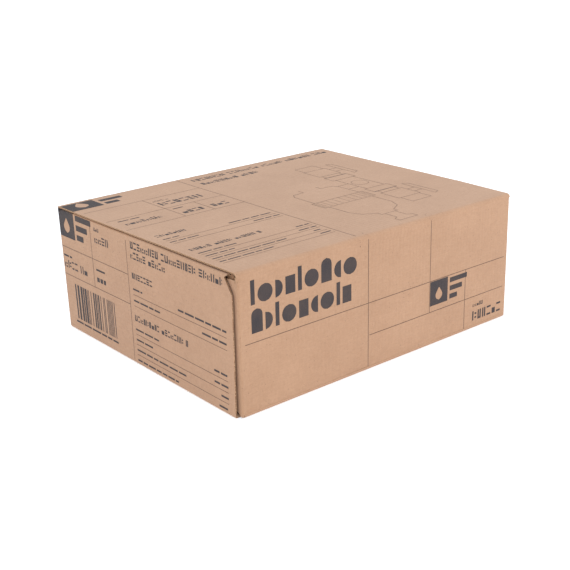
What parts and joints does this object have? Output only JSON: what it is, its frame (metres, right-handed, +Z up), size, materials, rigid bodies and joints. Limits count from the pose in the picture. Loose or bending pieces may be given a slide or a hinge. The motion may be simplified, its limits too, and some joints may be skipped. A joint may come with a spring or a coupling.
{
  "type": "boxed magnetic system filter",
  "caption": "Flat corrugated mailer carton with a hinged tuck-in lid, holding a polymer magnetic dirt filter on a brass swivel tee with isolating ball valves and a drain cock.",
  "frame": {"origin": "middle of the carton's underside", "axes": "+X along the carton's long side, +Y from the lid's hinge side to its tuck side, +Z up"},
  "size_m": [0.27, 0.221, 0.1],
  "materials": {
    "board": "plain kraft corrugated board",
    "polyamide": "glass-filled polyamide, fine moulded grain",
    "pale_plastic": "natural moulded plastic",
    "brass": "turned and forged brass",
    "chrome": "polished plating",
    "steel": "stainless steel",
    "rubber": "moulded elastomer",
    "red_paint": "red powder coat"
  },
  "bodies": {
    "carton": {"base_panel": "board", "back_wall": "board", "front_wall": "board", "left_end_wall_outer": "board", "left_end_wall_rollover": "board", "left_end_wall_inner": "board", "left_back_corner_flap": "board", "left_front_corner_flap": "board", "right_end_wall_outer": "board", "right_end_wall_rollover": "board", "right_end_wall_inner": "board", "right_back_corner_flap": "board", "right_front_corner_flap": "board", "lid_fold": "board", "insert_pad": "board", "insert_left_upright": "board", "insert_right_upright": "board", "upper_housing": "polyamide", "lower_bowl": "polyamide", "bowl_seal": "rubber", "magnet_sleeve": "brass", "cartridge_cage": "pale_plastic", "cartridge_mesh": "steel", "flow_diverter": "pale_plastic", "vent_body": "brass", "drain_body": "brass", "drain_seal": "rubber", "swivel_tee": "brass", "branch_nut": "brass", "branch_seal": "rubber", "supply_valve_union_nut": "brass", "supply_valve_gasket": "rubber", "supply_valve_body": "brass", "supply_valve_end_piece": "brass", "return_valve_union_nut": "brass", "return_valve_gasket": "rubber", "return_valve_body": "brass", "return_valve_end_piece": "brass"},
    "lid": {"lid_panel": "board"},
    "tuck": {"tuck_flap": "board", "tuck_fold": "board"},
    "ear_left": {"left_ear": "board"},
    "ear_right": {"right_ear": "board"},
    "ring": {"ring_nut": "polyamide"},
    "magnet_rod": {"magnet_cap_and_rod": "polyamide", "magnet_1": "chrome", "magnet_2": "chrome", "magnet_3": "chrome"},
    "vent": {"vent_knob": "polyamide"},
    "hose_tail": {"drain_hose_tail": "polyamide"},
    "drain": {"drain_knob": "polyamide"},
    "supply_lever": {"supply_valve_ball": "chrome", "supply_valve_stem": "brass", "supply_valve_handle": "red_paint", "supply_valve_handle_screw": "steel"},
    "return_lever": {"return_valve_ball": "chrome", "return_valve_stem": "brass", "return_valve_handle": "red_paint", "return_valve_handle_screw": "steel"}
  },
  "joints": [
    {"name": "lid_hinge", "type": "hinge", "parent": "carton", "child": "lid", "pos_m": [0, -0.1096, 0.0991], "axis": [1, 0, 0], "range_deg": [0, 110]},
    {"name": "tuck_hinge", "type": "hinge", "parent": "lid", "child": "tuck", "pos_m": [0, 0.1068, 0.0991], "axis": [1, 0, 0], "range_deg": [0, 55]},
    {"name": "left_ear_hinge", "type": "hinge", "parent": "tuck", "child": "ear_left", "pos_m": [-0.1254, 0.10591, 0.09922], "axis": [0, 0.1392, 0.9903], "range_deg": [-4, 70]},
    {"name": "right_ear_hinge", "type": "hinge", "parent": "tuck", "child": "ear_right", "pos_m": [0.1254, 0.10591, 0.09922], "axis": [0, -0.1392, -0.9903], "range_deg": [-4, 70]},
    {"name": "ring_nut_turn", "type": "hinge", "parent": "carton", "child": "ring", "pos_m": [0.022, -0.0607, 0.0485], "axis": [1, 0, 0], "range_deg": [0, 360]},
    {"name": "magnet_rod_draw", "type": "slide", "parent": "carton", "child": "magnet_rod", "axis": [-1, 0, 0], "range_m": [0, 0.07]},
    {"name": "vent_knob_turn", "type": "hinge", "parent": "carton", "child": "vent", "pos_m": [-0.05, -0.0397, 0.0485], "axis": [-1, 0, 0], "range_deg": [0, 360]},
    {"name": "hose_tail_swivel", "type": "hinge", "parent": "carton", "child": "hose_tail", "pos_m": [0.1, -0.0607, 0.0485], "axis": [1, 0, 0], "range_deg": [-180, 180]},
    {"name": "drain_knob_turn", "type": "hinge", "parent": "carton", "child": "drain", "pos_m": [0.115, -0.0607, 0.0485], "axis": [1, 0, 0], "range_deg": [0, 360]},
    {"name": "supply_valve_turn", "type": "hinge", "parent": "carton", "child": "supply_lever", "pos_m": [-0.0787, 0.0062, 0.0485], "axis": [0, 1, 0], "range_deg": [0, 90]},
    {"name": "return_valve_turn", "type": "hinge", "parent": "carton", "child": "return_lever", "pos_m": [0.0447, 0.0062, 0.0485], "axis": [0, 1, 0], "range_deg": [0, 90]}
  ],
  "couplings": [
    {"joint": "tuck_hinge", "follows": "lid_hinge", "ratio": 0.5}
  ]
}
